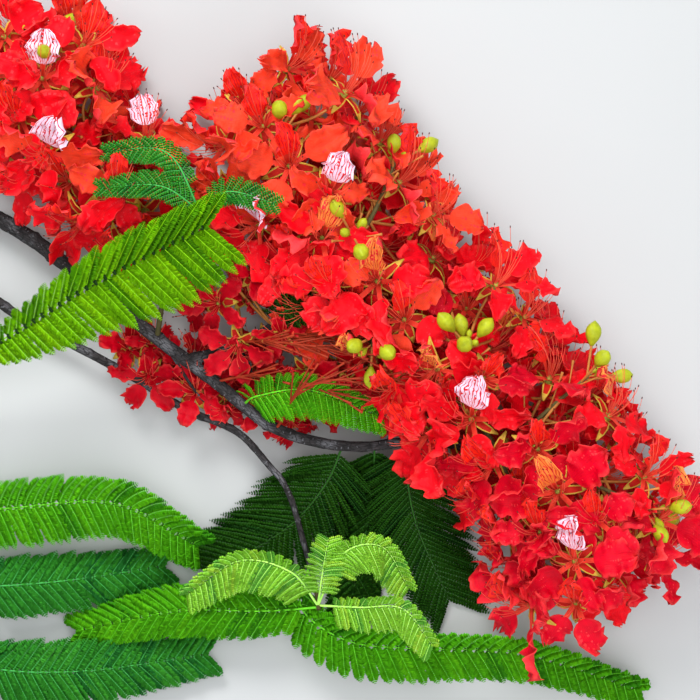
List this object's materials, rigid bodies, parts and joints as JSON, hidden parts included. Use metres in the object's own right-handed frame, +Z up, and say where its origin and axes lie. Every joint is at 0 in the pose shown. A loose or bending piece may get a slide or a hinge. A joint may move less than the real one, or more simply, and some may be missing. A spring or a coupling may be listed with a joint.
{
  "type": "cut flowering flame tree branch",
  "caption": "Cut flame tree branch lying down: dark woody limbs, a long dense mass of large scarlet blooms with stalked buds, and feathery twice-divided green leaves.",
  "frame": {"origin": "middle of the branch's bounding box, on the floor that it lies on", "axes": "+Z up; +X along the branch's length, from the cut end of the main limb towards the far end of the large mass of blooms; +Y to the left of that way, seen from above, where the racemes point"},
  "size_m": [0.9418, 0.7394, 0.1898],
  "materials": {
    "bark": "rough grey-brown bark",
    "raceme": "smooth green stems and buds",
    "bloom": "thin satin petals",
    "leaf": "thin matt leaflets"
  },
  "bodies": {
    "root": {"main_limb": "bark", "second_limb": "bark", "lower_limb": "bark", "upper_limb": "bark", "far_limb": "bark", "upper_racemes": "raceme", "lower_racemes": "raceme", "far_racemes": "raceme", "bloom_01": "bloom", "bloom_02": "bloom", "bloom_03": "bloom", "bloom_04": "bloom", "bloom_05": "bloom", "bloom_06": "bloom", "bloom_07": "bloom", "bloom_08": "bloom", "bloom_09": "bloom", "bloom_10": "bloom", "bloom_11": "bloom", "bloom_12": "bloom", "bloom_13": "bloom", "bloom_14": "bloom", "bloom_15": "bloom", "bloom_16": "bloom", "bloom_17": "bloom", "bloom_18": "bloom", "bloom_19": "bloom", "bloom_20": "bloom", "bloom_21": "bloom", "bloom_22": "bloom", "bloom_23": "bloom", "bloom_24": "bloom", "bloom_25": "bloom", "bloom_26": "bloom", "bloom_27": "bloom", "bloom_28": "bloom", "bloom_29": "bloom", "bloom_30": "bloom", "bloom_31": "bloom", "bloom_32": "bloom", "bloom_33": "bloom", "bloom_34": "bloom", "bloom_35": "bloom", "bloom_36": "bloom", "bloom_37": "bloom", "bloom_38": "bloom", "bloom_39": "bloom", "bloom_40": "bloom", "bloom_41": "bloom", "left_leaf": "leaf", "middle_leaf": "leaf", "upper_shoot": "leaf", "young_shoot": "leaf", "dark_leaf_near": "leaf", "dark_leaf_far": "leaf", "dark_leaf_middle": "leaf", "low_left_leaf": "leaf", "lower_left_leaf": "leaf", "bottom_left_leaf": "leaf", "bottom_right_leaf": "leaf"}
  },
  "joints": []
}
